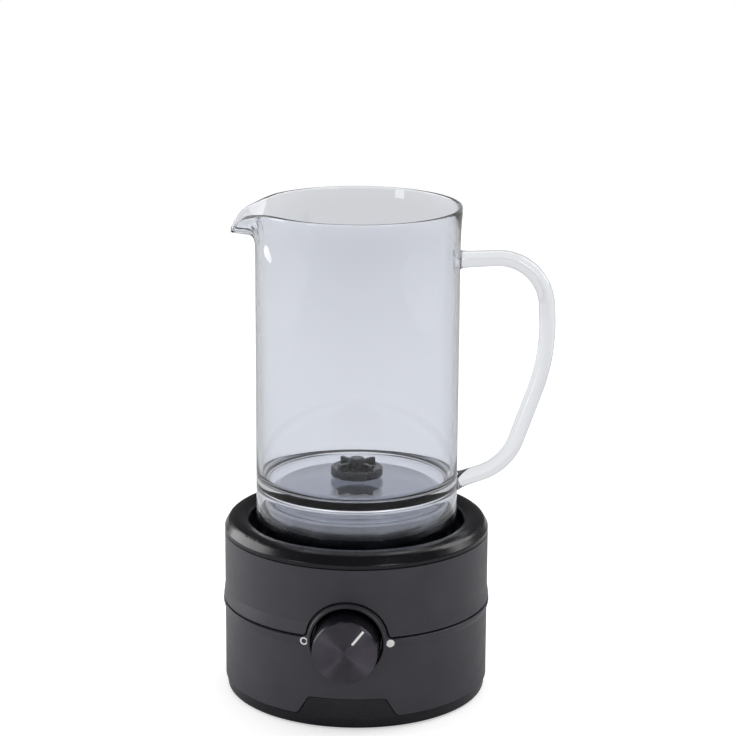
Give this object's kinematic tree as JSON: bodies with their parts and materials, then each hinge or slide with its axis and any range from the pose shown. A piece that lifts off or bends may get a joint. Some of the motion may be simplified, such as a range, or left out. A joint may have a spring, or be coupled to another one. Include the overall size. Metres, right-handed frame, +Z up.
{
  "type": "cold brew coffee maker",
  "caption": "Magnetic-stir cold brew maker: a round motor base with a speed knob drives a stirrer in a glass jug with a spout and a bent glass handle that lifts off its hub.",
  "frame": {"origin": "on the table, under the axis of the round base", "axes": "+Z up along the base and jug axis; -Y towards the knob at the front; +Y towards the power inlet at the back; the jug stands with its handle towards +X and its spout towards -X, both turned 6 degrees anticlockwise seen from above"},
  "size_m": [0.1618, 0.1459, 0.2431],
  "materials": {
    "black_plastic": "fine-textured black",
    "board_green": "solder resist",
    "bracket_steel": "pressed sheet",
    "bush_brass": "sintered",
    "capacitor_sleeve": "sleeved can",
    "carbon_brush": "carbon block on a spring leaf",
    "clear_glass": "clear borosilicate",
    "contact_brass": "tinned",
    "copper_winding": "enamelled copper wire",
    "cushion_silicone": "matt dark silicone",
    "dark_metal_cap": "dark, drawn and brushed",
    "foot_plastic": "satin black",
    "foot_rubber": "matt black rubber",
    "gloss_black": "polished black",
    "graphite_shell": "satin graphite",
    "graphite_trim": "satin graphite",
    "lamination_steel": "stacked laminations",
    "lead_blue": "insulated wire",
    "lead_grey": "insulated wire",
    "lead_red": "insulated wire",
    "magnet_ferrite": "dull ferrite",
    "magnet_nickel": "nickel-plated",
    "motor_steel": "drawn can",
    "screw_steel": "zinc-plated",
    "shaft_steel": "ground",
    "sink_aluminium": "extruded",
    "spun_aluminium": "dark, spun face",
    "stirrer_plastic": "smooth black",
    "white_plastic": "natural white nylon",
    "white_print": "plain white inlay"
  },
  "bodies": {
    "base": {"non_slip_ring": "foot_rubber", "bottom_plate": "black_plastic", "bottom_screws": "screw_steel", "foot_ring": "foot_plastic", "lower_sleeve": "graphite_shell", "belt_bezel": "graphite_trim", "dial_marks": "white_print", "upper_sleeve": "graphite_shell", "top_collar": "gloss_black", "inner_housing": "black_plastic", "well_tub": "gloss_black", "flange_screws": "screw_steel", "hub_cap": "dark_metal_cap", "seat_cushion": "cushion_silicone", "motor_bracket": "bracket_steel", "bracket_grommets": "foot_rubber", "bracket_screws": "screw_steel", "motor_can": "motor_steel", "motor_screws": "screw_steel", "motor_end_cap": "white_plastic", "motor_terminals": "contact_brass", "motor_bushes": "bush_brass", "motor_brushes": "carbon_brush", "field_magnets": "magnet_ferrite", "speed_control": "black_plastic", "control_washer": "screw_steel", "control_nut": "screw_steel", "control_lugs": "contact_brass", "power_inlet": "black_plastic", "inlet_pin": "contact_brass", "inlet_nut": "screw_steel", "inlet_tags": "contact_brass", "control_board": "board_green", "board_screws": "screw_steel", "board_plugs": "white_plastic", "board_chips": "black_plastic", "board_capacitors": "capacitor_sleeve", "heat_sink": "sink_aluminium", "control_leads": "lead_grey", "inlet_leads": "lead_red", "motor_leads": "lead_blue"},
    "drive_rotor": {"motor_shaft": "shaft_steel", "armature_core": "lamination_steel", "armature_windings": "copper_winding", "commutator": "bush_brass", "magnet_carrier": "white_plastic", "drive_magnets": "magnet_nickel", "grub_screw": "screw_steel"},
    "knob": {"knob_body": "gloss_black", "knob_face": "spun_aluminium", "pointer_line": "white_print", "control_spindle": "shaft_steel"},
    "jug": {"jug_glass": "clear_glass", "jug_handle": "clear_glass"},
    "stirrer": {"stirrer_body": "stirrer_plastic", "stirrer_magnets": "magnet_nickel"}
  },
  "joints": [
    {"name": "drive_spin", "type": "hinge", "parent": "base", "child": "drive_rotor", "pos_m": [0, 0, 0.0785], "axis": [0, 0, 1], "continuous": true},
    {"name": "knob_turn", "type": "hinge", "parent": "base", "child": "knob", "pos_m": [0, -0.06, 0.045], "axis": [0, 1, 0], "range_deg": [-128, 52]},
    {"name": "jug_lift", "type": "slide", "parent": "base", "child": "jug", "axis": [0, 0, 1], "range_m": [0, 0.045]},
    {"name": "stirrer_spin", "type": "hinge", "parent": "jug", "child": "stirrer", "pos_m": [0, 0, 0.1077], "axis": [0, 0, 1], "continuous": true}
  ],
  "couplings": [
    {"joint": "stirrer_spin", "follows": "drive_spin", "ratio": 1}
  ]
}
